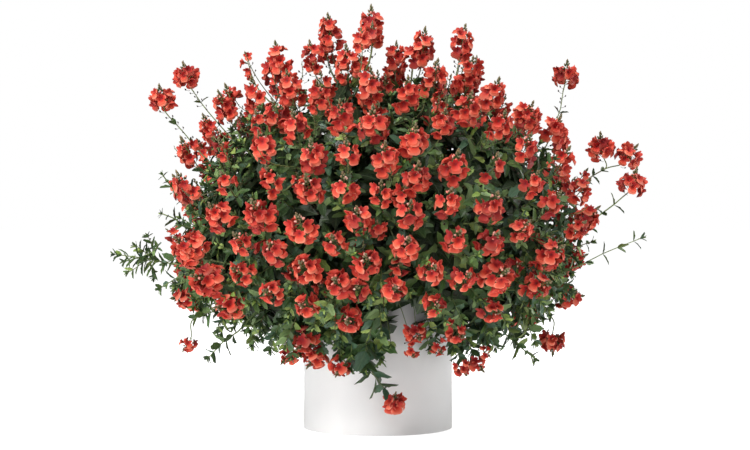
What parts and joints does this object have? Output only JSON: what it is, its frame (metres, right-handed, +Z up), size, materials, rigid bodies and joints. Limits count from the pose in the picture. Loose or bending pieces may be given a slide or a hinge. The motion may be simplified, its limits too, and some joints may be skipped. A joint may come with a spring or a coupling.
{
  "type": "potted twinspur",
  "caption": "Mounded flowering twinspur in a plain cylindrical pot: a dense leafy dome covered with short racemes of coral lipped flowers, with loose shoots that arch and trail past its edge.",
  "frame": {"origin": "on the pot's axis, at the middle of the pad under its floor, in the plane that the pot stands on", "axes": "+Z up along the pot's axis, -Y towards the side the plant is seen from, +X along the plant's greatest width"},
  "size_m": [0.726, 0.5698, 0.5662],
  "materials": {
    "pot": "satin white, plain",
    "soil": "crumbly dark potting compost",
    "leaf": "soft satin leaf with a cool sheen",
    "petal": "velvety coral petal"
  },
  "bodies": {
    "root": {"foliage": "leaf", "pot": "pot", "raceme_front_trailing": "petal", "raceme_left_high_inner": "petal", "raceme_left_high_outer": "petal", "raceme_low_left_spreading": "petal", "raceme_low_right_hanging": "petal", "raceme_right_arching_lower": "petal", "raceme_right_arching_upper": "petal", "raceme_right_high": "petal", "shoot_front_trailing": "leaf", "shoot_left_high_inner": "leaf", "shoot_left_high_outer": "leaf", "shoot_left_narrow_leaved": "leaf", "shoot_left_tips_lower": "leaf", "shoot_left_tips_upper": "leaf", "shoot_low_left_hanging": "leaf", "shoot_low_left_spreading": "leaf", "shoot_low_right_hanging": "leaf", "shoot_low_right_spreading": "leaf", "shoot_right_arching_lower": "leaf", "shoot_right_arching_upper": "leaf", "shoot_right_budding": "leaf", "shoot_right_high": "leaf", "soil": "soil", "spray_back_01": "petal", "spray_back_02": "petal", "spray_back_03": "petal", "spray_back_04": "petal", "spray_back_05": "petal", "spray_back_06": "petal", "spray_back_07": "petal", "spray_back_08": "petal", "spray_back_09": "petal", "spray_back_10": "petal", "spray_back_11": "petal", "spray_back_12": "petal", "spray_front_01": "petal", "spray_front_02": "petal", "spray_front_03": "petal", "spray_front_04": "petal", "spray_front_05": "petal", "spray_front_06": "petal", "spray_front_07": "petal", "spray_front_08": "petal", "spray_front_09": "petal", "spray_front_10": "petal", "spray_front_11": "petal", "spray_front_12": "petal", "spray_front_13": "petal", "spray_front_14": "petal", "spray_front_15": "petal", "spray_front_16": "petal", "spray_front_17": "petal", "spray_front_18": "petal", "spray_front_19": "petal", "spray_front_20": "petal", "spray_front_21": "petal", "spray_front_22": "petal", "spray_front_23": "petal"}
  },
  "joints": []
}
